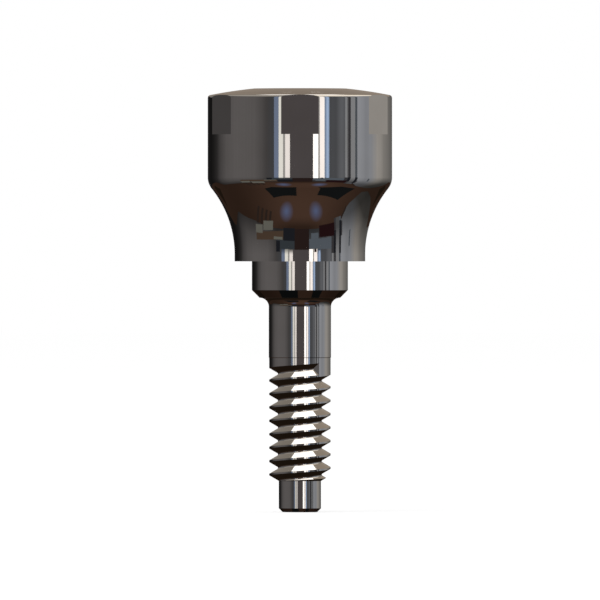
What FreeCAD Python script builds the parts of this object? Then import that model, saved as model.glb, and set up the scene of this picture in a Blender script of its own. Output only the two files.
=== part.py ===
import FreeCAD, Part
import math
import os

# Magnetic abutment for a dental implant: a turned titanium body with a magnet sealed in its head.
# Sizes are in millimetres. The turning axis is Z. The origin is the centre of the seat, the flat ring
# under the flange that lands on the implant. The front is -Y, and one driver flat faces it.

# Head: a short cylinder whose top falls away in a shallow dome round a flat centre
head_diameter = 4.8
head_height = 4.5             # seat to flat top face
top_face_diameter = 2.4
dome_radius = 12.0            # its centre lies on the axis
rim_fillet = 0.08             # between the dome and the cylinder
head_edge_fillet = 0.48       # between the cylinder and the cove

# Driver flats, cut into the top of the cylinder
flat_count = 6
flat_depth = 0.05             # 4.7 across two opposite flats
flat_length = 1.015           # where dome and cylinder would meet down to the ledge

# Cove and flange: one hollow sweep from the head in to the collar
flange_diameter = 3.4
flange_land = 0.18            # straight collar above the seat
cove_radius = 2.75

# Register under the seat, which centres the abutment in the implant
register_diameter = 2.5
register_length = 0.75
register_chamfer = 0.2
neck_fillet = 0.235           # from the register's underside to the shank

# Metric thread M1.6 x 0.35, right-hand, with the shank a trace larger than the crests
thread_diameter = 1.6
thread_pitch = 0.35
thread_length = 3.075         # shank end to the bevel at the thread's end
thread_run_in = 0.305         # shank end to the middle of the groove where it starts
thread_start_azimuth = 38.5   # degrees from the front towards +X, where the groove starts in a wall
thread_end_slope = 30.0       # degrees below level, the bevel that ends the thread
shank_diameter_over_thread = 0.02
shank_length = 2.5            # seat to the start of the thread blank

# Pilot pin at the tip, which steers the thread into the implant
pilot_relief = 0.035          # the pin's radius under the thread's root radius
pilot_length = 0.81           # end of the bevel to the tip
pilot_chamfer = 0.1

# Magnet and its welded cap, inside the head
cap_thickness = 0.3           # at the centre
cap_wall = 0.34               # left between the cap and the driver flats
cap_clearance = 0.01          # all round the cap, closed by the weld
cap_ledge = 0.18              # width of the step that the cap lands on
magnet_thickness = 2.0
magnet_side_clearance = 0.03
magnet_top_clearance = 0.03
magnet_chamfer = 0.1

# Metric thread proportions, each a share of the pitch
flank_angle = 30.0            # degrees from a plane square to the axis
groove_depth_in_pitches = 0.61343
crest_flat_in_pitches = 1 / 8

# Radii and heights that follow from the sizes above
head_radius = head_diameter / 2
top_face_radius = top_face_diameter / 2
flange_radius = flange_diameter / 2
register_radius = register_diameter / 2
thread_radius = thread_diameter / 2
shank_radius = thread_radius + shank_diameter_over_thread / 2
groove_depth = groove_depth_in_pitches * thread_pitch
root_radius = thread_radius - groove_depth
pilot_radius = root_radius - pilot_relief
dome_centre_z = head_height - math.sqrt(dome_radius ** 2 - top_face_radius ** 2)
rim_z = dome_centre_z + math.sqrt(dome_radius ** 2 - head_radius ** 2)
ledge_z = rim_z - flat_length
shank_end_z = -shank_length
thread_end_z = shank_end_z - thread_length
bevel_end_z = thread_end_z - (thread_radius - pilot_radius) * math.tan(math.radians(thread_end_slope))
tip_z = bevel_end_z - pilot_length
counterbore_radius = head_radius - flat_depth - cap_wall
cap_radius = counterbore_radius - cap_clearance
pocket_radius = counterbore_radius - cap_ledge
cap_seat_z = head_height - cap_thickness
pocket_floor_z = cap_seat_z - magnet_top_clearance - magnet_thickness

# How far a cutter stands proud of the metal that it cuts
cutter_overrun = 1.0
groove_overrun = 0.02

full_turn = 2 * math.pi
axis_start = FreeCAD.Vector(0, 0, 0)
axis_direction = FreeCAD.Vector(0, 0, 1)


def section_point(radius, height):
    """A point of a half section, which lies in the XZ plane."""
    return FreeCAD.Vector(radius, 0, height)


def line(start, end):
    """One straight edge of a half section."""
    return Part.makeLine(section_point(*start), section_point(*end))


def arc(centre, radius, start_angle, end_angle):
    """One round edge of a half section, between two angles in degrees from the radial direction."""

    def on_arc(angle):
        turn = math.radians(angle)
        return section_point(centre[0] + radius * math.cos(turn), centre[1] + radius * math.sin(turn))

    middle_angle = (start_angle + end_angle) / 2
    return Part.Arc(on_arc(start_angle), on_arc(middle_angle), on_arc(end_angle)).toShape()


def revolve(edges):
    """Turn a closed half section about the axis into a solid."""
    face = Part.Face(Part.Wire(edges))
    return face.revolve(axis_start, axis_direction, 360)


def dome_angle(radius):
    """Angle above level, in degrees, at which the dome's centre sees the dome at a radius."""
    return math.degrees(math.acos(radius / dome_radius))


def head_edges():
    """Half section from the centre of the top face down to the outer end of the cove."""
    rim_centre, rim_angle = rim_fit()
    edge_centre, cove_centre, touch_angle = lower_edge_fit()
    return [
        line((0, head_height), (top_face_radius, head_height)),
        arc((0, dome_centre_z), dome_radius, dome_angle(top_face_radius), rim_angle),
        arc(rim_centre, rim_fillet, rim_angle, 0),
        line((head_radius, rim_centre[1]), (head_radius, edge_centre[1])),
        arc(edge_centre, head_edge_fillet, 0, touch_angle - 180),
        arc(cove_centre, cove_radius, touch_angle, 180),
    ]


def rim_fit():
    """Centre of the rim's fillet, and the angle where it touches the dome.

    The fillet lies inside the dome, so its centre is one fillet radius nearer to the dome's centre
    than the dome itself, and the touching point lies on the line through both centres.
    """
    across = head_radius - rim_fillet
    rise = math.sqrt((dome_radius - rim_fillet) ** 2 - across ** 2)
    return (across, dome_centre_z + rise), math.degrees(math.atan2(rise, across))


def lower_edge_fit():
    """Centres of the head's lower edge fillet and of the cove, and the angle where the two arcs touch.

    The fillet lies inside the metal and the cove outside it, so their centres are as far apart as
    their radii together, and the touching point lies on the line between the centres.
    """
    cove_centre = (flange_radius + cove_radius, flange_land)
    edge_centre_radius = head_radius - head_edge_fillet
    across = cove_centre[0] - edge_centre_radius
    rise = math.sqrt((cove_radius + head_edge_fillet) ** 2 - across ** 2)
    edge_centre = (edge_centre_radius, cove_centre[1] + rise)
    touch_angle = math.degrees(math.atan2(rise, -across))
    return edge_centre, cove_centre, touch_angle


def stem_edges():
    """Half section from the foot of the cove down to the centre of the pilot's tip."""
    step = register_radius - shank_radius
    chamfer = min(register_chamfer, step / 2)
    fillet = min(neck_fillet, step - chamfer)
    chamfer_end = (register_radius - chamfer, -register_length - chamfer)
    neck_top = (shank_radius + fillet, chamfer_end[1])
    neck_centre = (neck_top[0], neck_top[1] - fillet)
    corners = [
        (shank_radius, neck_centre[1]),
        (shank_radius, shank_end_z),
        (thread_radius, shank_end_z),
        (thread_radius, thread_end_z),
        (pilot_radius, bevel_end_z),
        (pilot_radius, tip_z + pilot_chamfer),
        (pilot_radius - pilot_chamfer, tip_z),
        (0, tip_z),
    ]
    edges = [
        line((flange_radius, flange_land), (flange_radius, 0)),
        line((flange_radius, 0), (register_radius, 0)),
        line((register_radius, 0), (register_radius, -register_length)),
        line((register_radius, -register_length), chamfer_end),
    ]
    if neck_top[0] < chamfer_end[0] - Part.Precision.confusion():
        edges.append(line(chamfer_end, neck_top))
    edges.append(arc(neck_centre, fillet, 90, 180))
    edges += [line(start, end) for start, end in zip(corners, corners[1:])]
    return edges


def driver_flat_cutters():
    """One block for each driver flat, from its ledge up past the rim."""
    blocks = []
    for index in range(flat_count):
        block = Part.makeBox(
            head_diameter,
            cutter_overrun,
            flat_length + cutter_overrun,
            FreeCAD.Vector(-head_radius, -head_radius + flat_depth - cutter_overrun, ledge_z),
        )
        block.rotate(axis_start, axis_direction, index * 360 / flat_count)
        blocks.append(block)
    return blocks


def helix(radius, turns):
    """A right-hand helix that climbs from Z = 0, with one edge for each turn.

    A helix is a straight line on its cylinder when the cylinder is unrolled flat: one turn runs
    a full circle across and one pitch up.
    """
    surface = Part.Cylinder()
    surface.Radius = radius
    edges = []
    for turn in range(turns):
        start = FreeCAD.Base.Vector2d(turn * full_turn, turn * thread_pitch)
        end = FreeCAD.Base.Vector2d((turn + 1) * full_turn, (turn + 1) * thread_pitch)
        edges.append(Part.Geom2d.Line2dSegment(start, end).toShape(surface))
    return Part.Wire(edges)


def thread_groove_cutter():
    """The thread's groove: a metric groove section swept along a helix, past the end of the thread.

    The sweep ends at the top in a plane through the axis, the wall in which the groove starts.
    """
    groove_z = shank_end_z - thread_run_in
    depth_below_start = groove_z - bevel_end_z + thread_pitch
    turns = math.ceil(depth_below_start / thread_pitch)
    widening = math.tan(math.radians(flank_angle))
    outer_radius = thread_radius + groove_overrun
    crest_half_width = (1 - crest_flat_in_pitches) * thread_pitch / 2
    root_half_width = crest_half_width - groove_depth * widening
    outer_half_width = crest_half_width + groove_overrun * widening
    section = Part.makePolygon([
        section_point(root_radius, -root_half_width),
        section_point(outer_radius, -outer_half_width),
        section_point(outer_radius, outer_half_width),
        section_point(root_radius, root_half_width),
        section_point(root_radius, -root_half_width),
    ])
    sweep = Part.BRepOffsetAPI.MakePipeShell(helix(root_radius, turns))
    sweep.setFrenetMode(True)
    sweep.add(section)
    sweep.build()
    sweep.makeSolid()
    cutter = sweep.shape()
    cutter.rotate(axis_start, axis_direction, thread_start_azimuth - 90)
    cutter.translate(FreeCAD.Vector(0, 0, groove_z - turns * thread_pitch))
    return cutter


def cylinder(radius, bottom_z, top_z):
    """An upright cylinder on the axis between two heights."""
    return Part.makeCylinder(radius, top_z - bottom_z, FreeCAD.Vector(0, 0, bottom_z), axis_direction)


def abutment_body():
    """The turned titanium body: head, cove, flange, register, shank, thread and pilot in one piece."""
    edges = head_edges() + stem_edges()
    edges.append(line((0, tip_z), (0, head_height)))
    body = revolve(edges)
    pocket = cylinder(pocket_radius, pocket_floor_z, head_height + cutter_overrun)
    counterbore = cylinder(counterbore_radius, cap_seat_z, head_height + cutter_overrun)
    body = body.cut(driver_flat_cutters() + [pocket, counterbore])
    return body.cut(thread_groove_cutter())


def magnet():
    """The magnet: a plain disc with broken edges, standing on the floor of the pocket."""
    disc = cylinder(
        pocket_radius - magnet_side_clearance,
        pocket_floor_z,
        pocket_floor_z + magnet_thickness,
    )
    circles = [edge for edge in disc.Edges if isinstance(edge.Curve, Part.Circle)]
    return disc.makeChamfer(magnet_chamfer, circles)


def magnet_cap():
    """The thin titanium cap: the flat top face and the inner part of the dome, on the pocket's ledge."""
    edge_angle = dome_angle(cap_radius)
    edge_z = dome_centre_z + dome_radius * math.sin(math.radians(edge_angle))
    return revolve([
        line((0, cap_seat_z), (cap_radius, cap_seat_z)),
        line((cap_radius, cap_seat_z), (cap_radius, edge_z)),
        arc((0, dome_centre_z), dome_radius, edge_angle, dome_angle(top_face_radius)),
        line((top_face_radius, head_height), (0, head_height)),
        line((0, head_height), (0, cap_seat_z)),
    ])


pieces = {
    "abutment_body": abutment_body(),
    "magnet": magnet(),
    "magnet_cap": magnet_cap(),
}

os.makedirs("parts", exist_ok=True)
for name, shape in pieces.items():
    solid = shape.Solids[0]
    solid.exportStep("parts/" + name + ".step")
    print(name, "solids", len(shape.Solids), "valid", shape.isValid(), "volume", round(shape.Volume, 4))
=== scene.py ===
# %% [markdown]
# A magnetic abutment for a dental implant
#
# The real part is turned from one bar of titanium alloy on a small lathe, and then polished until it is
# a mirror. Its shape is exact and its surface has almost no pattern of its own, so two things make the
# picture: surfaces whose normals are right to a fraction of a degree, and a studio worth reflecting.
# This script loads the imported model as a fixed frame, makes the polished pieces as grids of numbers,
# and builds the studio round them.

# %% The frame
import math

import bmesh
import bpy
import numpy as np
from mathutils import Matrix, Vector


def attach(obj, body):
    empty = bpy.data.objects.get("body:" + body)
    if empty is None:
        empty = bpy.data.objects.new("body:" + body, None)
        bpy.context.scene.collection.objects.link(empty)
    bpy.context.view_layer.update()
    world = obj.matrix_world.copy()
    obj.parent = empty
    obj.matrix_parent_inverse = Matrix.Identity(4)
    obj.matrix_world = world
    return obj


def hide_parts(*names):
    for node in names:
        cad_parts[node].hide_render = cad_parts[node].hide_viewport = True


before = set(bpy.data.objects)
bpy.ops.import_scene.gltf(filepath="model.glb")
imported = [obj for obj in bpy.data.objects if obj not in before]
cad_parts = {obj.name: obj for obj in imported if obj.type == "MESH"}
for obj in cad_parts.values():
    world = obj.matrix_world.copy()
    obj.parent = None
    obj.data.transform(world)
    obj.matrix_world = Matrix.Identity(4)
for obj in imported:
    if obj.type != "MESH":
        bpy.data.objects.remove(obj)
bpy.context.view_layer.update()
millimetre = 0.001
print("nodes", sorted(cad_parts))

# %% [markdown]
# The camera
#
# The photograph was made with almost parallel light: the ledges of the near and the far driver flats
# lie at one height, and no ring of the part opens into an ellipse. A very long lens far away gives that.
# It looks along +Y from a fifth of a degree above level, because a trace of the flat top can be seen.

# %% Camera
view_width = 15.624 * millimetre  # what the photograph shows from left to right
camera_distance = 0.5
camera_rise = math.radians(0.2)
aim = Vector((0.0026, 0.0, -1.0077)) * millimetre

camera_data = bpy.data.cameras.new("camera")
camera_data.sensor_width = 36
camera_data.lens = camera_data.sensor_width * camera_distance / view_width
camera_data.clip_start = 0.01
camera_data.clip_end = 10
camera = bpy.data.objects.new("camera", camera_data)
towards_camera = Vector((0, -math.cos(camera_rise), math.sin(camera_rise)))
camera.location = aim + camera_distance * towards_camera
camera.rotation_mode = "QUATERNION"
camera.rotation_quaternion = (-towards_camera).to_track_quat("-Z", "Y")
bpy.context.collection.objects.link(camera)
bpy.context.scene.camera = camera
bpy.context.scene.view_settings.view_transform = "Standard"
print("lens", round(camera_data.lens), "mm")

# %% [markdown]
# The sizes
#
# These are the sizes of the turned part in millimetres, the same as in the imported model. The origin is
# the centre of the seat, the flat ring that lands on the implant, and the part stands on Z.
# What follows from other sizes is worked out, so that no number is written twice.

# %% Sizes of the turned part
head_radius = 2.4
head_height = 4.5
top_face_radius = 1.2
dome_radius = 12.0
rim_fillet = 0.08
edge_fillet = 0.48
flat_count = 6
flat_depth = 0.05
flat_length = 1.015
flange_radius = 1.7
flange_land = 0.18
cove_radius = 2.75
register_radius = 1.25
register_length = 0.75
register_chamfer = 0.2
neck_fillet = 0.235
shank_length = 2.5
shank_over_thread = 0.01  # how much further out the shank reaches than the thread
shank_step = 0.014  # height of the hair-fine step down to the thread's blank
thread_radius = 0.8
thread_pitch = 0.35
thread_length = 3.075
thread_run_in = 0.305  # shank's end to the groove's middle where the groove starts
groove_azimuth = math.radians(38.5)  # where it starts, from the front towards +X
groove_depth_in_pitches = 0.61343  # this and the next two are those of every metric thread
crest_flat_in_pitches = 1 / 8
flank_slope = math.radians(30)
root_round = 0.036
end_slope = math.radians(30)
pilot_relief = 0.035  # how much further in the pin stays than the thread's root
pilot_length = 0.81
pilot_chamfer = 0.1
cap_thickness = 0.3
cap_wall = 0.34  # left between the cap and the driver flats
cap_clearance = 0.01
cap_ledge = 0.18  # width of the step that the cap lands on
magnet_room = 2.03  # the magnet's thickness and its clearance under the cap

# %% Sizes that follow from them
flat_distance = head_radius - flat_depth
counterbore_radius = flat_distance - cap_wall
cap_radius = counterbore_radius - cap_clearance
cap_seat = head_height - cap_thickness
pocket_radius = counterbore_radius - cap_ledge
pocket_floor = cap_seat - magnet_room
neck_height = -register_length - register_chamfer
shank_radius = thread_radius + shank_over_thread
shank_end = -shank_length
thread_end = shank_end - thread_length
groove_start = shank_end - thread_run_in
pilot_radius = thread_radius - groove_depth_in_pitches * thread_pitch - pilot_relief
bevel_end = thread_end - (thread_radius - pilot_radius) * math.tan(end_slope)
tip = bevel_end - pilot_length
dome_centre = (0, head_height - math.sqrt(dome_radius ** 2 - top_face_radius ** 2))


def dome_height(radius):
    """Height of the head's shallow dome: its centre's height plus the square root of the dome's radius
    squared less the way out from the axis squared."""
    return dome_centre[1] + np.sqrt(dome_radius ** 2 - radius ** 2)


rim_height = dome_height(head_radius)
ledge_height = rim_height - flat_length
print("rim", round(rim_height, 4), "ledge", round(ledge_height, 4), "tip", round(tip, 4))

# %% [markdown]
# Round edges of the half section
#
# Four arcs soften the turned shape: the tiny round at the rim, the round under the head, the wide cove
# and the fillet at the top of the shank. Each one is kept as its centre and radius, because the same
# numbers give both the points of the mesh and, later, the exact normals that a mirror needs.

# %% The four arcs
rim_out = head_radius - rim_fillet
rim_rise = math.sqrt((dome_radius - rim_fillet) ** 2 - rim_out ** 2)
rim_centre = (rim_out, dome_centre[1] + rim_rise)
cove_centre = (flange_radius + cove_radius, flange_land)
edge_across = cove_centre[0] - (head_radius - edge_fillet)
edge_rise = math.sqrt((cove_radius + edge_fillet) ** 2 - edge_across ** 2)
edge_centre = (head_radius - edge_fillet, flange_land + edge_rise)
touch_angle = math.atan2(edge_rise, -edge_across)
neck_centre = (shank_radius + neck_fillet, neck_height - neck_fillet)


def arc_points(centre, radius, start, end, steps):
    """Points on a circle: the centre plus the radius times the cosine and sine of evenly spaced angles."""
    angles = np.linspace(start, end, steps + 1)
    return np.stack([centre[0] + radius * np.cos(angles), centre[1] + radius * np.sin(angles)], axis=1)


rim_arc = arc_points(rim_centre, rim_fillet, math.atan2(rim_rise, rim_out), 0, steps=12)
edge_arc = arc_points(edge_centre, edge_fillet, 0, touch_angle - math.pi, steps=24)
cove_arc = arc_points(cove_centre, cove_radius, touch_angle, math.pi, steps=72)
neck_arc = arc_points(neck_centre, neck_fillet, math.pi / 2, math.pi, steps=24)
print("cove and round meet at", np.round(edge_arc[-1], 4), np.round(cove_arc[0], 4))

# %% [markdown]
# The blank of the body
#
# A lathe makes a shape by one profile turned about an axis, and so does this grid: its rows are the
# points of the profile and its columns are azimuths. The six driver flats are milled into the head, and
# here they are a limit on the radius: above the ledge, no point may lie further out than the flat's
# plane. The columns are placed so that the flats' upright edges fall exactly on one, and every point
# that the limit pulls in takes its height from the dome again, so the edge there is exact as well.

# %% Azimuths of the columns
columns_across_flat = 16
columns_between_flats = 30
sixth = 2 * math.pi / flat_count
flat_half_angle = math.acos(flat_distance / head_radius)
across_flat = np.linspace(-flat_half_angle, flat_half_angle, columns_across_flat, endpoint=False)
between_flats = np.linspace(flat_half_angle, sixth - flat_half_angle, columns_between_flats, endpoint=False)
sector = np.concatenate([across_flat, between_flats])
azimuths = (sector[None, :] + sixth * np.arange(flat_count)[:, None]).ravel()
flat_limit = flat_distance / np.cos((azimuths + sixth / 2) % sixth - sixth / 2)
print(len(azimuths), "columns")

# %% Profile of the blank
dome_rows = 5
inner_profile = np.array([
    (0, pocket_floor), (pocket_radius, pocket_floor),
    (pocket_radius, cap_seat), (counterbore_radius, cap_seat),
])
dome_radii = np.linspace(counterbore_radius, rim_arc[0, 0], dome_rows, endpoint=False)
top_radii = np.concatenate([dome_radii, rim_arc[:, 0]])
lower_profile = np.concatenate([
    [(head_radius, ledge_height), (head_radius, (ledge_height + edge_centre[1]) / 2)],
    edge_arc,
    cove_arc[1:],
    [(flange_radius, 0), (register_radius, 0), (register_radius, -register_length)],
    [(register_radius - register_chamfer, neck_height)],
    neck_arc,
    [(shank_radius, shank_end), (thread_radius, shank_end - shank_step), (thread_radius, thread_end)],
    [(pilot_radius, bevel_end), (pilot_radius, tip + pilot_chamfer)],
    [(pilot_radius - pilot_chamfer, tip), (0, tip)],
])
print(len(lower_profile), "points below the driver flats")

# %% Radius and height of every point


def top_height(radius):
    """Height of the head's top at a radius: the dome, and past the point where the rim's round begins,
    the centre of that round plus the square root of its radius squared less the way out squared."""
    way_out = np.clip(radius - rim_centre[0], 0, rim_fillet)
    on_round = rim_centre[1] + np.sqrt(rim_fillet ** 2 - way_out ** 2)
    return np.where(radius > rim_arc[0, 0], on_round, dome_height(radius))


def lathed(profile):
    """A profile turned about the axis: the same radius and height at each azimuth."""
    return np.broadcast_to(profile[:, None, :], (len(profile), len(azimuths), 2))


held_radii = np.minimum(top_radii[:, None], flat_limit)
flat_foot = np.minimum(head_radius, flat_limit)[None, :]
body_grid = np.concatenate([
    lathed(inner_profile),
    np.stack([held_radii, top_height(held_radii)], axis=-1),
    np.stack([flat_foot, np.full_like(flat_foot, ledge_height)], axis=-1),
    lathed(lower_profile),
])
print("grid", body_grid.shape)

# %% [markdown]
# From a grid to a mesh
#
# A grid becomes a mesh by one quad between each four neighbours, and the last column joins the first.
# Where a row shrinks to a point on the axis, or where rows fall together on a flat, the points are
# merged, which closes the poles. Small parts lose digits when they are cut in metres, so the shapes are
# worked out in millimetres and put in metres at the end.

# %% Grid helpers
merge_distance = 0.00002  # in millimetres


def around(radius, azimuth, height):
    """Points in space: x is the radius times the sine of the azimuth, and y is less the radius times its
    cosine, so the front is -Y and the azimuth runs from there towards +X."""
    points = np.broadcast_arrays(radius * np.sin(azimuth), -radius * np.cos(azimuth), height)
    return np.stack(points, axis=-1).reshape(-1, 3)


def ring_quads(rows, columns):
    """Corner numbers of the quads between neighbouring rows, when the last column joins the first. A
    point's number is its row times the count of columns, plus its column."""
    row = np.arange(rows - 1)[:, None] * columns
    column = np.arange(columns)[None, :]
    after = (column + 1) % columns
    corners = np.broadcast_arrays(row + column, row + after, row + columns + after, row + columns + column)
    return np.stack(corners, axis=-1).reshape(-1, 4)


def closed_mesh(name, points, faces):
    """A mesh in which points that coincide are merged and all normals look outwards."""
    mesh = bpy.data.meshes.new(name)
    mesh.from_pydata(points.tolist(), [], faces.tolist())
    work = bmesh.new()
    work.from_mesh(mesh)
    bmesh.ops.remove_doubles(work, verts=work.verts, dist=merge_distance)
    bmesh.ops.recalc_face_normals(work, faces=work.faces)
    loose = [edge for edge in work.edges if not edge.is_manifold]
    print(name, len(work.faces), "faces,", len(loose), "open edges, volume", round(work.calc_volume(), 4))
    work.to_mesh(mesh)
    work.free()
    return mesh


def in_scene(name, mesh):
    """An object for a mesh, at the origin."""
    thing = bpy.data.objects.new(name, mesh)
    bpy.context.collection.objects.link(thing)
    return thing


def lathed_mesh(name, grid):
    """The closed mesh of a grid of radii and heights round the axis."""
    return closed_mesh(name, around(grid[..., 0], azimuths, grid[..., 1]), ring_quads(*grid.shape[:2]))


# %% The blank
body = in_scene("polished_body", lathed_mesh("polished_body", body_grid))

# %% [markdown]
# The thread
#
# The thread is a metric one, M1.6 with a pitch of 0.35 mm. A single-point tool cuts it, and what it
# leaves is a groove of one section that runs down a helix and starts in a small upright wall. It could
# be pressed into the grid as a wave, but then the flanks' edges would be blurred, and in a mirror finish
# that shows at once. So the groove is a solid of its own, a section carried along the helix, and an
# exact Boolean takes it from the blank, as the tool does.

# %% The groove
steps_per_turn = 240
groove_overrun = 0.02  # how far the section reaches out of the blank
turns = math.ceil((groove_start - bevel_end + thread_pitch) / thread_pitch)
half_crest_gap = thread_pitch * (1 - crest_flat_in_pitches) / 2
half_mouth = half_crest_gap + groove_overrun * math.tan(flank_slope)
mouth_radius = thread_radius + groove_overrun
root_centre = thread_radius - half_crest_gap / math.tan(flank_slope) + root_round / math.sin(flank_slope)
root_turn = math.pi / 2 - flank_slope
groove_section = np.concatenate([
    arc_points((root_centre, 0), root_round, math.pi - root_turn, math.pi + root_turn, steps=8),
    [(mouth_radius, -half_mouth), (mouth_radius, half_mouth)],
])
print("groove's root at radius", round(root_centre - root_round, 4))


def groove_solid():
    """The groove's section carried down the helix: the azimuth falls evenly, and the height falls by one
    pitch for each turn. Two end caps close it, and every quad is split in two flat triangles."""
    turn = np.arange(turns * steps_per_turn + 1)[:, None] / steps_per_turn
    azimuth = groove_azimuth - 2 * math.pi * turn
    height = groove_start - thread_pitch * turn + groove_section[None, :, 1]
    points = around(groove_section[None, :, 0] + 0 * turn, azimuth, height)
    quads = ring_quads(len(turn), len(groove_section))
    triangles = np.concatenate([quads[:, [0, 1, 2]], quads[:, [0, 2, 3]]])
    last = len(points) - len(groove_section)
    fan = np.arange(1, len(groove_section) - 1)
    first_cap = np.stack([0 * fan, fan + 1, fan], axis=1)
    last_cap = last + np.stack([0 * fan, fan, fan + 1], axis=1)
    return points, np.concatenate([triangles, first_cap, last_cap])


# %% The cut
groove = in_scene("thread_groove", closed_mesh("thread_groove", *groove_solid()))
cut = body.modifiers.new("thread", "BOOLEAN")
cut.operation = "DIFFERENCE"
cut.solver = "EXACT"
cut.object = groove
bpy.context.view_layer.update()
cut_body = body.evaluated_get(bpy.context.evaluated_depsgraph_get())
threaded_mesh = bpy.data.meshes.new_from_object(cut_body)
body.modifiers.clear()
body.data = threaded_mesh
bpy.data.objects.remove(groove)
print("threaded body", len(threaded_mesh.polygons), "faces")

# %% [markdown]
# Exact normals
#
# Blender can smooth a mesh by averaging the normals of the faces round a point, but near an edge it has
# faces on one side only, and a mirror then shows a bent stripe. The true normals are known here, so every
# corner of every face gets its own. They are easiest to say in three parts: outwards from the axis, round
# the axis, and up. On a turned surface the parts are those of the face. Round edges, thread flanks, the
# groove's root and the driver flats each have a rule of their own.

# %% Reading a mesh round its axis


def read(collection, field, width):
    """One field of all items of a mesh, as an array."""
    values = np.empty(len(collection) * width)
    collection.foreach_get(field, values)
    return values.reshape(-1, width)


class Places:
    """Azimuth, way out from the axis, and height of many points."""

    def __init__(self, points):
        self.azimuth = np.arctan2(points[:, 0], -points[:, 1])
        self.out = np.hypot(points[:, 0], points[:, 1])
        self.height = points[:, 2]


def local_parts(vectors, azimuth):
    """Parts of vectors outwards, round the axis and up: outwards is x times the azimuth's sine less y
    times its cosine, and round the axis is x times its cosine plus y times its sine."""
    outwards = vectors[:, 0] * np.sin(azimuth) - vectors[:, 1] * np.cos(azimuth)
    sideways = vectors[:, 0] * np.cos(azimuth) + vectors[:, 1] * np.sin(azimuth)
    return np.stack([outwards, sideways, vectors[:, 2]], axis=1)


def from_parts(parts, azimuth):
    """Vectors in space from such parts, by the same sines and cosines."""
    x = parts[:, 0] * np.sin(azimuth) + parts[:, 1] * np.cos(azimuth)
    y = -parts[:, 0] * np.cos(azimuth) + parts[:, 1] * np.sin(azimuth)
    return np.stack([x, y, parts[:, 2]], axis=1)


# %% The normal of each kind of surface
lead = thread_pitch / (2 * math.pi)  # what the helix climbs in one radian
on_axis = 0.0001  # nearer to the axis than this, a corner has no azimuth of its own


def along_arc(corner, centre, side):
    """Square to a round edge: the way from the arc's centre to the corner, or back where the side is -1
    because the edge is hollow."""
    return np.stack([corner.out - centre[0], 0 * corner.out, corner.height - centre[1]], axis=1) * side


def off_flank(corner, facing):
    """Square to a thread flank that faces up, 1, or down, -1: that much up, the tangent of the flank's
    slope outwards, and the lead over the radius back along the helix."""
    back = -facing * lead / np.maximum(corner.out, on_axis)
    return np.stack([0 * facing + math.tan(flank_slope), back, facing], axis=1)


def over_groove(place):
    """Height over the nearest turn of the groove's middle line: the height less that of the helix at the
    azimuth, brought within half a pitch of nought by taking away whole pitches."""
    offset = place.height - groove_start - (place.azimuth - groove_azimuth) * lead
    return (offset + thread_pitch / 2) % thread_pitch - thread_pitch / 2


def off_root(corner):
    """Square to the groove's rounded root: the way from the corner to the helix of the root's centre,
    leant by the lead over the radius."""
    over = over_groove(corner)
    leant = over * lead / np.maximum(corner.out, on_axis)
    return np.stack([root_centre - corner.out, leant, -over], axis=1)


# %% Which surface a face lies on
# Each arc has its centre, its radius, the heights between which it runs, and -1 where it is hollow
arcs = [
    (dome_centre, dome_radius, rim_arc[0, 1], head_height, 1),
    (rim_centre, rim_fillet, rim_centre[1], rim_arc[0, 1], 1),
    (edge_centre, edge_fillet, edge_arc[-1, 1], edge_centre[1], 1),
    (cove_centre, cove_radius, flange_land, edge_arc[-1, 1], -1),
    (neck_centre, neck_fillet, neck_centre[1], neck_height, -1),
]
arc_tolerance = 0.003  # how far a face's middle may lie off its arc
flat_tolerance = 0.001  # the same for a driver flat
turned_lean = 0.03  # a turned face's normal leans round the axis by less than this
flank_lean = 0.3  # and a flank's by more than that and less than this
flank_rise = 0.5  # a flank's normal looks up or down by more than this
root_share = 0.95  # of the root's round, up to where it meets the flanks
root_edge = root_centre - root_share * root_round * math.sin(flank_slope)


def on_flank(face, parts):
    """True for the faces of the thread's flanks."""
    lean = np.abs(parts[:, 1])
    leaning = (lean > turned_lean) & (lean < flank_lean)
    return leaning & (face.height < shank_end) & (np.abs(parts[:, 2]) > flank_rise)


def in_root(face):
    """True for the faces of the groove's rounded root."""
    off_arc = np.abs(np.hypot(face.out - root_centre, over_groove(face)) - root_round)
    threaded = (face.height < groove_start + thread_pitch) & (face.height > bevel_end)
    return threaded & (off_arc < arc_tolerance) & (face.out < root_edge)


def nearest_flat(centre, normal):
    """For each face the normal of the driver flat that is turned most like it, and whether it lies on
    that flat: upright, above the ledge, and as far out along the flat's normal."""
    azimuth = np.round(np.arctan2(normal[:, 0], -normal[:, 1]) / sixth) * sixth
    square = np.stack([np.sin(azimuth), -np.cos(azimuth), 0 * azimuth], axis=1)
    off_flat = np.abs(np.sum(centre * square, axis=1) - flat_distance)
    upright = np.abs(normal[:, 2]) < flat_tolerance
    return square, upright & (centre[:, 2] > ledge_height) & (off_flat < flat_tolerance)


# %% Normals for each corner


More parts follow.
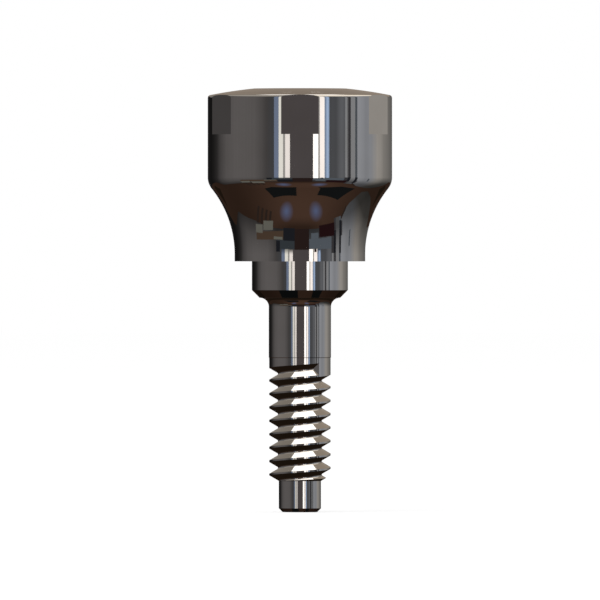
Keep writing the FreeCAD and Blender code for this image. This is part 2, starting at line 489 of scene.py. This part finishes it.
def exact_normals(mesh):
    """A normal for each corner of each face, from the surface that the face lies on."""
    corner_counts = read(mesh.polygons, "loop_total", 1)[:, 0].astype(int)
    owner = np.repeat(np.arange(len(mesh.polygons)), corner_counts)
    vertex = read(mesh.loops, "vertex_index", 1)[:, 0].astype(int)
    centre = read(mesh.polygons, "center", 3)
    face_normal = read(mesh.polygons, "normal", 3)
    face = Places(centre)
    corner = Places(read(mesh.vertices, "co", 3)[vertex])
    corner.azimuth = np.where(corner.out < on_axis, face.azimuth[owner], corner.azimuth)

    face_parts = local_parts(face_normal, face.azimuth)
    turned = np.abs(face_parts[:, 1]) < turned_lean
    face_parts[turned, 1] = 0
    parts = face_parts[owner]
    for arc_centre, radius, low, high, side in arcs:
        off_arc = np.abs(np.hypot(face.out - arc_centre[0], face.height - arc_centre[1]) - radius)
        on_arc = turned & (off_arc < arc_tolerance) & (face.height > low) & (face.height < high)
        parts = np.where(on_arc[owner, None], along_arc(corner, arc_centre, side), parts)

    flank = on_flank(face, face_parts)
    parts = np.where(flank[owner, None], off_flank(corner, np.sign(face_parts[owner, 2])), parts)
    parts = np.where(in_root(face)[owner, None], off_root(corner), parts)
    square, on_flat = nearest_flat(centre, face_normal)
    normals = np.where(on_flat[owner, None], square[owner], from_parts(parts, corner.azimuth))
    print(mesh.name, "flank faces", int(flank.sum()), "flat faces", int(on_flat.sum()))
    return normals / np.linalg.norm(normals, axis=1, keepdims=True)


def finish_mesh(mesh):
    """Smooth faces with exact normals, and the whole mesh put in metres."""
    normals = exact_normals(mesh)
    mesh.polygons.foreach_set("use_smooth", np.ones(len(mesh.polygons), dtype=bool))
    mesh.vertices.foreach_set("co", (read(mesh.vertices, "co", 3) * millimetre).ravel())
    mesh.update()
    mesh.normals_split_custom_set(normals.tolist())


finish_mesh(body.data)
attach(body, "root")
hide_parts("abutment_body")

# %% [markdown]
# The cap over the magnet
#
# A thin disc closes the pocket of the magnet. It is welded round its edge and polished together with the
# head, so its flat centre and the start of the dome run on into the body with only a hairline between.
# It is turned as the body is, from a profile of its own.

# %% The cap
cap_dome_steps = 8
cap_out = np.linspace(cap_radius, top_face_radius, cap_dome_steps + 1)
cap_profile = np.concatenate([
    [(0, cap_seat), (cap_radius, cap_seat)],
    np.stack([cap_out, dome_height(cap_out)], axis=1),
    [(0, head_height)],
])
cap = in_scene("polished_cap", lathed_mesh("polished_cap", lathed(cap_profile)))
finish_mesh(cap.data)
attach(cap, "root")
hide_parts("magnet_cap")

# %% [markdown]
# Shader maths in Python
#
# A finish is a small sum over the surface: how far from the axis, how high, how much noise. Written as
# nodes such a sum is hard to read, so one small class wraps a socket, and adding or multiplying two of
# them adds the Math nodes. One method makes every other node.

# %% Wires and trees


def joined(operation, reflected=False):
    """A method that puts a wire and another value in one Math node, the other first where reflected."""
    def method(self, other):
        return self.tree.maths(operation, *((other, self) if reflected else (self, other)))
    return method


class Wire:
    """One output socket, which takes part in sums as a number does."""

    def __init__(self, tree, socket):
        self.tree = tree
        self.socket = socket

    __add__ = joined("ADD")
    __radd__ = joined("ADD", reflected=True)
    __sub__ = joined("SUBTRACT")
    __rsub__ = joined("SUBTRACT", reflected=True)
    __mul__ = joined("MULTIPLY")
    __rmul__ = joined("MULTIPLY", reflected=True)
    __truediv__ = joined("DIVIDE")
    __lt__ = joined("LESS_THAN")
    __gt__ = joined("GREATER_THAN")


class Tree:
    """The nodes of one material or of the world."""

    def __init__(self, owner):
        owner.use_nodes = True
        self.owner = owner
        self.tree = owner.node_tree
        self.tree.nodes.clear()

    def node(self, kind, settings, values, output=0):
        """One node: its settings first, then the values or links of its sockets. Gives one output."""
        made = self.tree.nodes.new(kind)
        for name, value in settings.items():
            if name == "stops":
                self.set_stops(made.color_ramp, value)
            else:
                setattr(made, name, value)
        for name, value in values.items():
            if isinstance(value, Wire):
                self.tree.links.new(value.socket, made.inputs[name])
            else:
                made.inputs[name].default_value = value
        return Wire(self, made.outputs[output]) if made.outputs else made

    def set_stops(self, ramp, stops):
        """Stops of a colour ramp, as places and colours."""
        while len(ramp.elements) < len(stops):
            ramp.elements.new(0.5)
        for element, (place, colour) in zip(ramp.elements, stops):
            element.position = place
            element.color = (*colour, 1)

    def maths(self, operation, first, second=0.0):
        """One Math node on one or two values."""
        return self.node("ShaderNodeMath", {"operation": operation}, {0: first, 1: second})

    def point(self):
        """The point on the object, as a vector."""
        return self.node("ShaderNodeTexCoord", {}, {}, "Object")

    def place(self):
        """X, Y and Z of the point on the object, as three wires."""
        point = self.point()
        return [self.node("ShaderNodeSeparateXYZ", {}, {0: point}, axis) for axis in range(3)]

    def vector(self, x, y, z):
        """A vector from three values."""
        return self.node("ShaderNodeCombineXYZ", {}, {0: x, 1: y, 2: z})

    def noise(self, vector, scale=1.0, detail=2.0):
        """Noise from nought to one."""
        return self.node("ShaderNodeTexNoise", {}, {"Vector": vector, "Scale": scale, "Detail": detail})

    def blend(self, factor, first, second):
        """A colour between two colours."""
        return self.node("ShaderNodeMix", {"data_type": "RGBA"}, {0: factor, 6: first, 7: second}, 2)

    def spread(self, wire, low, high, new_low=0.0, new_high=1.0):
        """A value carried from one range to another, and held inside it."""
        values = {0: wire, 1: low, 2: high, 3: new_low, 4: new_high}
        return self.node("ShaderNodeMapRange", {"clamp": True}, values)

    def show(self, shader, output="ShaderNodeOutputMaterial"):
        """The shader put out as what is seen. Gives the material or the world."""
        self.node(output, {}, {"Surface": shader})
        return self.owner

    def glow(self, colour, strength=1.0):
        """Plain light in a colour, as what is seen."""
        return self.show(self.node("ShaderNodeEmission", {}, {"Color": colour, "Strength": strength}))

    def metal(self, colour, roughness, marks, depth):
        """Bare metal with the finest marks in it, as what is seen."""
        relief = {"Strength": depth, "Distance": finest_relief, "Height": marks}
        return self.show(self.node("ShaderNodeBsdfPrincipled", {}, {
            "Base Color": colour,
            "Metallic": 1.0,
            "Roughness": roughness,
            "Normal": self.node("ShaderNodeBump", {}, relief),
        }))


def rgb(red, green, blue):
    """A colour for a socket."""
    return (red, green, blue, 1.0)


black = rgb(0, 0, 0)
white = rgb(1, 1, 1)
finest_relief = 0.000002  # metres

# %% [markdown]
# Polished titanium
#
# Titanium is a warm, rather dark metal: it gives back a little more than half of the light, and less
# blue than red. Polishing leaves a mirror, but a lathe has been there before: very fine rings run round
# the axis, and the cloth leaves a faint haze that changes from place to place. The rings are noise that
# is read by radius and height only, so that it cannot change round the part. The thread is cut and not
# polished, and is a little duller. The two small chamfers carry painted shade: their colour is darkened
# for the part's own shadow there. In the photograph every facet mirrors the room as if the rest of the
# part were not in the way: the flanks of the thread show the softbox and the floor, and not each other.
# Leaving the pieces out of the reflections gives the same clean flanks.

# %% Titanium
titanium_colour = rgb(0.58, 0.55, 0.52)
titanium_worn = rgb(0.54, 0.51, 0.475)
# painted shade: the darker colour that the two small chamfers are blended towards, for the part's own
# shadow there
chamfer_shade_colour = rgb(0.20, 0.19, 0.175)
chamfer_shade_share = 0.7
mirror_roughness = 0.022
rings_add = 0.018
haze_adds = 0.022
thread_adds = 0.03
ring_depth = 0.12
ring_length = 0.00009  # metres from one turning ring to the next
haze_scale = 900.0
haze_range = (0.45, 0.7)  # of the noise, over which the haze grows
worn_range = (0.35, 0.7)  # and over which the colour turns to the worn one


def between(z, low, high):
    """One where a height in metres lies between two in millimetres, and nought elsewhere."""
    return (z > low * millimetre) * (z < high * millimetre)


def polished_titanium():
    """Mirror finish with turning rings and a little haze, and painted shade on the two chamfers."""
    tree = Tree(bpy.data.materials.new("polished_titanium"))
    x, y, z = tree.place()
    radius = tree.maths("SQRT", x * x + y * y)
    rings = tree.noise(tree.vector(radius / ring_length, 0.0, z / ring_length), detail=3.0)
    haze = tree.noise(tree.point(), haze_scale, detail=4.0)
    in_thread = between(z, bevel_end, groove_start + thread_pitch / 2)
    # painted shade: the register's chamfer and the pilot's chamfer and end, whose colour is darkened below
    shaded_chamfers = between(z, neck_height, -register_length) + (z < (tip + pilot_chamfer) * millimetre)
    colour = tree.blend(tree.spread(haze, *worn_range), titanium_colour, titanium_worn)
    colour = tree.blend(shaded_chamfers * chamfer_shade_share, colour, chamfer_shade_colour)
    roughness = mirror_roughness + rings_add * rings + haze_adds * tree.spread(haze, *haze_range)
    return tree.metal(colour, roughness + thread_adds * in_thread, rings, ring_depth)


titanium = polished_titanium()
for piece in (body, cap):
    piece.data.materials.clear()
    piece.data.materials.append(titanium)
    piece.visible_glossy = False
print("titanium on", body.name, "and", cap.name)

# %% [markdown]
# The magnet
#
# The magnet is a sintered samarium cobalt disc, ground flat. It is sealed in the head and never seen, but
# it keeps its place in the model, and has the grey, grainy finish of a ground magnet.

# %% Ground magnet
magnet_dark = rgb(0.36, 0.35, 0.34)
magnet_light = rgb(0.48, 0.47, 0.455)
grain_scale = 14000.0
lines_along = 300.0  # how fast the grinding lines change along them, per metre
lines_across = 30000.0  # and across them
ground_roughness = 0.32
lines_add = 0.18
line_depth = 0.3


def ground_magnet():
    """Grey sintered alloy with a fine grain and straight grinding lines."""
    tree = Tree(bpy.data.materials.new("magnet_alloy"))
    x, y, z = tree.place()
    grain = tree.noise(tree.point(), grain_scale, detail=3.0)
    lines = tree.noise(tree.vector(x * lines_along, y * lines_across, z * lines_across))
    colour = tree.blend(grain, magnet_dark, magnet_light)
    return tree.metal(colour, ground_roughness + lines_add * lines, lines, line_depth)


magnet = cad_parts["magnet"]
magnet.data.materials.clear()
magnet.data.materials.append(ground_magnet())
print("ground finish on the magnet")

# %% [markdown]
# The white sheet and the light
#
# The part stands on a plain white sheet in soft light from all sides, which a plain white world gives.
# To the camera the sheet is part matt paper, which takes the part's soft shadow, and part plain white, so
# that it runs into the background without a line. A soft lamp in front on the left gives the shadow its
# side. Reflections see neither the sheet nor the lamp, because the cards further on say what they show.

# %% World
world = bpy.data.worlds.new("studio")
bpy.context.scene.world = world
world_tree = Tree(world)
daylight = world_tree.node("ShaderNodeBackground", {}, {"Color": white, "Strength": 1.0})
world_tree.show(daylight, "ShaderNodeOutputWorld")
print("world", world.name)

# %% Floor
floor_radius = 0.9
floor_rings = 5
floor_columns = 96
plain_share = 0.6  # how much of the sheet is plain white to the camera
paper_dark = rgb(0.975, 0.975, 0.975)
paper_light = rgb(0.995, 0.995, 0.995)
paper_scale = 60.0


def white_sheet():
    """Matt white paper with a breath of unevenness, and plain white added where the camera sees it."""
    tree = Tree(bpy.data.materials.new("white_sheet"))
    paper = tree.blend(tree.noise(tree.point(), paper_scale, detail=3.0), paper_dark, paper_light)
    matt = tree.node("ShaderNodeBsdfDiffuse", {}, {"Color": paper})
    plain = tree.node("ShaderNodeEmission", {}, {"Color": white, "Strength": 1.0})
    seen = tree.node("ShaderNodeLightPath", {}, {}, "Is Camera Ray")
    return tree.show(tree.node("ShaderNodeMixShader", {}, {0: seen * plain_share, 1: matt, 2: plain}))


floor_mesh = bpy.data.meshes.new("white_floor")
floor_ring = np.linspace(0, floor_radius, floor_rings)[:, None]
floor_turn = np.linspace(0, 2 * math.pi, floor_columns, endpoint=False)
floor_points = around(floor_ring, floor_turn, tip * millimetre)
floor_mesh.from_pydata(floor_points.tolist(), [], ring_quads(floor_rings, floor_columns).tolist())
floor_mesh.validate()
floor_mesh.materials.append(white_sheet())
floor = in_scene("white_floor", floor_mesh)
floor.visible_glossy = False
print("floor at", round(tip, 3), "mm")

# %% Soft lamp
key = bpy.data.lights.new("key", "AREA")
key.shape = "DISK"
key.size = 0.25
key.energy = 0.35
key_lamp = bpy.data.objects.new("key", key)
key_lamp.location = (-0.12, -0.16, 0.3)
key_lamp.rotation_mode = "QUATERNION"
key_lamp.rotation_quaternion = Vector(key_lamp.location).to_track_quat("Z", "Y")
key_lamp.visible_camera = False
key_lamp.visible_glossy = False
bpy.context.collection.objects.link(key_lamp)
print("lamp", key.energy, "watts")

# %% [markdown]
# What the mirror shows
#
# A mirror has no colour of its own to speak of: it shows what stands round it. The photograph shows the
# part in a room with two tall windows, grey walls and a dark brown floor, and these give it its white
# stripes and its deep tones. Here a ring of grey wall stands for the room, with named cards in a few
# plain tones in front of it. Each is a patch of a sphere round the part, and only reflections see it.

# %% Tones of the cards
tones = {
    "window": (2.3, 2.3, 2.3),
    "hazy_window": (1.28, 1.30, 1.24),
    "clear_window": (1.42, 1.38, 1.36),
    "warm_window": (1.75, 1.68, 1.66),
    "frame": (0.50, 0.50, 0.49),
    "sky": (0.56, 0.76, 1.12),
    "dim_sky": (0.33, 0.44, 0.64),
    "left_sky": (0.24, 0.31, 0.47),
    "pillar": (0.111, 0.101, 0.106),
    "umber": (0.031, 0.019, 0.018),
    "pitch": (0.010, 0.0115, 0.0125),
    "soot": (0.018, 0.020, 0.027),
    "iron": (0.060, 0.060, 0.068),
    "slate": (0.115, 0.135, 0.160),
    "mist": (0.135, 0.165, 0.205),
    "storm": (0.050, 0.062, 0.075),
    "lead": (0.20, 0.205, 0.22),
    "ash": (0.36, 0.38, 0.41),
    "cream": (0.185, 0.19, 0.17),
    "tan": (0.100, 0.068, 0.048),
    "wine": (0.024, 0.009, 0.011),
    "walnut": (0.036, 0.025, 0.021),
    "taupe": (0.315, 0.285, 0.250),
    "clay": (0.312, 0.258, 0.210),
    "sand": (0.42, 0.36, 0.295),
    "pale_ceiling": (0.55, 0.52, 0.48),
    "bright_ceiling": (1.45, 1.36, 1.20),
    "black_cloth": (0.017, 0.011, 0.007),
    "softbox": (2.6, 2.55, 2.5),
}
darker_share = 0.93  # of a tone, where the painted board is uneven
board_scale = 24.0
made_tones = {}


def painted(name, tone, foot=1.0, fade=1.0):
    """A card that shines in one tone, with the faintest unevenness of painted board. From the part's
    level down by the length of the fade the light falls evenly to the share given for the foot."""
    tree = Tree(bpy.data.materials.new(name))
    z = tree.place()[2]
    darker = rgb(*(part * darker_share for part in tones[tone]))
    board = tree.blend(tree.noise(tree.point(), board_scale, detail=3.0), darker, rgb(*tones[tone]))
    return tree.glow(tree.blend(tree.spread(z, -fade, 0.0, foot, 1.0), black, board))


def tone_material(tone):
    """The material of a tone, made when a card first asks for it."""
    if tone not in made_tones:
        made_tones[tone] = painted(tone, tone)
    return made_tones[tone]


# %% Shapes of the cards
wall_distance = 0.30
floor_distance = 0.295
card_distance = 0.285
near_card_distance = 0.27
patch_rows = 25
degrees_per_column = 2


def reflections_only(thing):
    """A thing that only reflections see, and that lights nothing else."""
    for ray in ("camera", "diffuse", "shadow", "transmission", "volume_scatter"):
        setattr(thing, f"visible_{ray}", False)
    for slot in thing.material_slots:
        slot.material.cycles.emission_sampling = "NONE"


def open_grid(name, material, points, rows, columns):
    """A sheet from a grid of points, one quad between each four neighbours, for reflections only."""
    corner = (np.arange(rows - 1)[:, None] * columns + np.arange(columns - 1)[None, :]).ravel()
    faces = np.stack([corner, corner + 1, corner + columns + 1, corner + columns], axis=1)
    mesh = bpy.data.meshes.new(name)
    mesh.from_pydata(points.tolist(), [], faces.tolist())
    mesh.materials.append(material)
    reflections_only(in_scene(name, mesh))


def sphere_patch(name, material, azimuths, low_edge, high_edge, distance):
    """Part of a sphere: the azimuth runs evenly from the first to the last one given, and the rise above
    level runs evenly from a lower to an upper edge. An edge is one rise, or a rise for each azimuth with
    straight stretches between. Angles are in degrees, and the distance is the sphere's radius."""
    columns = max(2, math.ceil((azimuths[-1] - azimuths[0]) / degrees_per_column) + 1)
    across = np.linspace(azimuths[0], azimuths[-1], columns)[None, :]
    low = np.interp(across, azimuths, np.broadcast_to(low_edge, len(azimuths)))
    high = np.interp(across, azimuths, np.broadcast_to(high_edge, len(azimuths)))
    up = np.radians(low + (high - low) * np.linspace(0, 1, patch_rows)[:, None])
    points = around(distance * np.cos(up), np.radians(across), distance * np.sin(up))
    open_grid(name, material, points, patch_rows, columns)


def card(name, tone, azimuth, edges, distance=card_distance):
    """One named card in a named tone, between two azimuths and from its lower to its upper edge."""
    sphere_patch(name, tone_material(tone), azimuth, *edges, distance)


def near_card(name, tone, azimuth, edges):
    """A card that hangs in front of others."""
    card(name, tone, azimuth, edges, near_card_distance)


def fading_card(name, tone, azimuth, edges, foot, fade):
    """A card whose light falls towards its foot, so it has a material of its own."""
    sphere_patch(name, painted(name, tone, foot, fade), azimuth, *edges, card_distance)


def flat_board(name, tone, corners, height):
    """A level board of one face. A corner's two numbers, times the height, say how far across and along
    it lies. The corners run round the edge, and a grid wants them row by row."""
    first, second, third, fourth = np.array(corners) * abs(height)
    level = np.array([first, second, fourth, third])
    open_grid(name, tone_material(tone), np.column_stack([level, np.full(4, height)]), 2, 2)


# %% [markdown]
# The wall
#
# The walls are one ring whose tone changes slowly with the azimuth, warm grey on the left and lighter on
# the right, with a dark corner behind on the left. A colour ramp read by the azimuth gives that, with
# its stops closer together where the light changes faster. The wall also darkens towards the floor, and
# behind on the right it does so much faster than elsewhere.

# %% Tones of the wall
wall_tones = {
    (1.0, 0.97, 1.0): [
        (-180, 0.045), (-160, 0.012), (-147, 0.010), (-136, 0.020), (-127, 0.037), (-119, 0.088),
        (-104, 0.150), (-85, 0.172), (-60, 0.165), (-48, 0.120), (-42, 0.085),
    ],
    (0.93, 1.0, 1.13): [
        (-34, 0.085), (37, 0.115), (46, 0.115), (54, 0.200), (58, 0.155),
        (78, 0.460), (84, 0.430), (92, 0.370), (100, 0.400),
    ],
    (1.0, 0.975, 0.935): [(114, 0.470), (122, 0.430), (130, 0.320), (155, 0.170), (180, 0.065)],
}
wall_stops = [
    ((azimuth + 180) / 360, tuple(level * part for part in tint))
    for tint, levels in wall_tones.items()
    for azimuth, level in levels
]
print(len(wall_stops), "tones round the wall, in", len(wall_tones), "tints")

# %% Wall ring
all_round = (-180, 180)
wall_rise = (-55, 38)
wall_strength = 1.1
wall_unevenness = 0.182
uneven_round = 90.0  # how fast the unevenness changes in one turn,
uneven_up = 3.0  # and in one metre of height
plain_slope = 3.5  # how fast the wall darkens downwards, straight in front
slope_lost_aside = 0.9  # less by this at the far right, and more at the far left
slope_behind = (3.0, 13.0)  # added behind on the right, with the way back and its square
right_side = (-0.4, 0.5)  # the right begins and is whole, in wall distances from the middle
shade_spread = (-0.9, 0.0, 0.2, 1.0)  # from and to which height times slope, and the shares of light there
foot_spread = (-0.16, -0.08, 0.5, 1.0)  # the same for the wall's foot, by the height alone


def wall_material():
    """A tone for each azimuth, times a shade that falls evenly with the height times a slope. The slope
    is a plain one less a share of the way to the right, and behind on the right it grows by the way back
    and its square."""
    tree = Tree(bpy.data.materials.new("studio_wall"))
    x, y, z = tree.place()
    azimuth = tree.maths("ARCTAN2", x, 0.0 - y) / math.radians(360) + 0.5
    ramp = tree.node("ShaderNodeValToRGB", {"stops": wall_stops}, {0: azimuth})
    side = x / wall_distance
    behind = tree.maths("MAXIMUM", y, 0.0) / wall_distance
    grown = (slope_behind[0] + slope_behind[1] * behind) * behind
    slope = plain_slope - slope_lost_aside * side + tree.spread(side, *right_side) * grown
    shade = tree.spread(z * slope, *shade_spread) * tree.spread(z, *foot_spread)
    uneven = tree.noise(tree.vector(azimuth * uneven_round, 0.0, z * uneven_up))
    level = shade * (1.0 - wall_unevenness * (1.0 - uneven))
    return tree.glow(tree.blend(level, black, ramp), wall_strength)


sphere_patch("studio_wall", wall_material(), all_round, *wall_rise, wall_distance)

# %% [markdown]
# The windows and the dark strips
#
# Two windows stand to the left and right of the camera, each in two panes with a bar between, and a strip
# of sky at the outer side. Between them is a dark pillar, and further right are a few upright bars with
# darker feet. Every pane and bar is a card of its own, because in a mirror an edge between two tones has
# to stay sharp. The panes of the left window fade a little towards the sill.

# %% Window cards
window_rise = (-5.5, 30)
window_fade = 0.027  # metres over which a pane fades towards its sill
fading_panes = [
    ("left_sky", "left_sky", (-32.4, -26.5), 0.3),
    ("left_window_outer_pane", "hazy_window", (-26.5, -21.0), 0.3),
    ("left_window_bar", "frame", (-21.0, -18.3), 0.5),
    ("left_window_inner_pane", "clear_window", (-18.3, -12.4), 0.05),
    ("right_sky_edge", "dim_sky", (30.8, 37.2), 0.25),
]
for name, tone, azimuth, foot in fading_panes:
    fading_card(name, tone, azimuth, window_rise, foot, window_fade)
card("pillar", "pillar", (-12.4, 16.4), (-4.9, 38))
card("right_window_inner_pane", "window", (16.4, 22.8), window_rise)
card("right_window_bar", "frame", (22.8, 24.8), (-6, 30))
card("right_window_outer_pane", "warm_window", (24.8, 30.8), (-6, 30))
near_card("right_sill_box", "umber", (25.4, 29.6), (-6, -2.6))
near_card("right_sky", "sky", (33.2, 36.2), (-4, 30))

# %% Upright bars on the right
bar_rise = (-34, 38)
short_bar_rise = (-29, 38)
card("first_bar", "ash", (58.6, 61.4), short_bar_rise)
card("second_bar", "lead", (61.4, 63), short_bar_rise)
card("dark_bar", "iron", (63, 66.6), bar_rise)
card("last_bar", "slate", (73.3, 76.6), bar_rise)
fading_card("third_bar", "ash", (66.6, 73.3), bar_rise, foot=0.3, fade=0.12)
near_card("first_foot", "iron", (57.6, 62.4), (-17.5, -1.2))
near_card("second_foot", "soot", (62.4, 66.6), (-22, -1.2))
near_card("last_foot", "soot", (73.5, 77.5), (-30, -1.2))
near_card("last_foot_side", "iron", (77.5, 79.5), (-29, -16))
near_card("dark_strap", "slate", (95.5, 98.5), (-18, -6))

# %% [markdown]
# Low things and the dark floor
#
# The hollow under the head looks down, and so it shows what is low in the room: dark and pale shapes
# under the windows, and a dark brown floor in which the windows are mirrored as two blue spots. The
# photograph has these things too small to tell what they are, so plain cards stand in for them. Two
# black boards on the floor give the two dark patches right under the head.

# %% Low cards
near_card("left_dark_shape", "soot", (-29.5, -9), (-28, -14.5))
card("left_steel_shape", "storm", (-42.5, -9), (-14.5, -5.6))
near_card("left_corner_box", "soot", (-42.5, -35.5), (-14, -3))
near_card("under_pillar", "umber", (-9.5, 16.2), (-27.5, -4.9))
card("right_steel_shape", "mist", (14.5, 60), (-16.5, -5.6))
card("right_steel_post", "mist", (20, 33), (-22.5, -16.5))
near_card("wine_board", "wine", (34.5, 63.5), (-30, -17.5))
card("tan_shelf", "tan", (-82, -28), [(-19.5, -25), (-12, -16)])
near_card("shelf_end", "cream", (-47, -31), (-18, -15))
near_card("first_cream_board", "cream", (-83, -69), [(-25, -27), (-18, -19)])
near_card("second_cream_board", "cream", (-67.5, -49), [(-31, -33.5), (-22, -24)])
near_card("skirting", "walnut", (77, 88), [(-33, -41), (-30.5, -38)])
for number, azimuth in enumerate((-81, -73, -65, -57)):
    card(f"dark_slat_{number}", "walnut", (azimuth, azimuth + 4), (-43, -27))

# %% Light on the dark floor
lit_brown = rgb(0.100, 0.056, 0.039)
lit_worn = rgb(0.108, 0.062, 0.043)
boards_across = 40.0  # how fast the boards change across them, per metre
boards_along = 6.0  # and along them
lit_place = (0.08, -0.61, -0.788)  # direction from the part to where the boards are lightest
floor_levels = (0.36, 0.92)
window_side = (-0.25, -0.18, 1.0, 0.0)  # from and to which Y, and how much of the floor is under windows
window_shade = (-41.0, -30.0, 0.0, 0.5)  # from and to which rise, and how much darker the floor is there
window_in_floor = rgb(0.130, 0.175, 0.335)
spot_places = [(-25.5, -46.5), (30.5, -46.5)]
spot_size = (12, 11)  # degrees from a spot's middle to its edge, across and up
spot_fade = (0.1, 1.15, 0.9, 0.0)  # from and to how many spot sizes, and how much blue there is


def dark_floor_material():
    """Brown boards, lightest between the windows: the level grows with the square of the cosine of the
    angle from the lightest place, and falls again right under the windows. Two soft blue spots lie on
    them. A spot fades with the distance from its middle, counted in spot sizes across and up."""
    tree = Tree(bpy.data.materials.new("dark_floor"))
    x, y, z = tree.place()
    azimuth = tree.maths("ARCTAN2", x, 0.0 - y) / math.radians(1)
    rise = tree.maths("ARCTAN2", z, tree.maths("SQRT", x * x + y * y)) / math.radians(1)
    boards = tree.noise(tree.vector(x * boards_across, y * boards_along, 0.0), detail=3.0)
    towards = (x * lit_place[0] + y * lit_place[1] + z * lit_place[2]) / floor_distance
    lit = tree.spread(tree.maths("MAXIMUM", towards, 0.0) * towards, 0.0, 1.0, *floor_levels)
    lit = lit * (1.0 - tree.spread(rise, *window_shade) * tree.spread(y, *window_side))
    colour = tree.blend(lit, black, tree.blend(boards, lit_brown, lit_worn))
    for place, height in spot_places:
        across = (azimuth - place) / spot_size[0]
        up = (rise - height) / spot_size[1]
        distance = tree.maths("SQRT", across * across + up * up)
        colour = tree.blend(tree.spread(distance, *spot_fade), colour, window_in_floor)
    return tree.glow(colour)


# %% The dark floor and the two black boards
floor_edge = [
    (-180, -8), (-135, -12), (-128, -17), (-121, -24.5), (-84, -28), (-50, -26.5), (40, -27), (77, -30),
    (86, -38), (95, -41), (110, -41.5), (119, -41), (128, -36), (143, -16), (152, -7), (164, -4), (180, -4),
]
straight_down = -90
edge_azimuths, edge_rises = zip(*floor_edge)
sphere_patch("dark_floor", dark_floor_material(), edge_azimuths, straight_down, edge_rises, floor_distance)

board_depth = 0.13
left_board = [(-0.52, -0.35), (-0.06, -0.45), (-0.045, 0.01), (-0.52, 0.25)]
right_board = [(0.315, -0.375), (0.80, -0.21), (0.815, 0.37), (0.27, 0.17)]
flat_board("left_black_board", "pitch", left_board, -board_depth)
flat_board("right_black_board", "pitch", right_board, -board_depth)

# %% [markdown]
# The ceiling and the softbox
#
# The upper flanks of the thread mirror what is above and behind, and the photograph has them white in
# the middle, so a large softbox hangs there. The ceiling is pale on the left, bright on the right and
# sandy at the back, and the shallow dome of the head shows the upper part of the wall behind. The lower
# flanks mirror what is low and behind, and a black cloth there keeps them dark. A paler upper wall behind
# on the left doesn't show from the front, and keeps the head's top from going black from above.

# %% Ceiling and softbox
card("ceiling_left", "pale_ceiling", (-160, 0), (38, 90), wall_distance)
card("ceiling_right", "bright_ceiling", (0, 160), (38, 90), wall_distance)
card("ceiling_behind_right", "sand", (150, 180), (12, 90))
card("ceiling_behind_left", "taupe", (180, 210), (8, 90))
near_card("back_wall", "clay", (173, 187), (1.5, 26))
card("upper_wall_left", "lead", (-154, -112), (5, 38))
card("black_cloth", "black_cloth", (148, 212), (-75, -15))

softbox_height = 0.17
softbox_corners = [(-0.24, 0.36), (0.264, 0.36), (0.264, 1.0), (-0.24, 1.0)]
flat_board("softbox", "softbox", softbox_corners, softbox_height)

# %% [markdown]
# The end
#
# The finished pieces have to fill the same box as the imported model.

# %% Finish
bpy.context.view_layer.update()
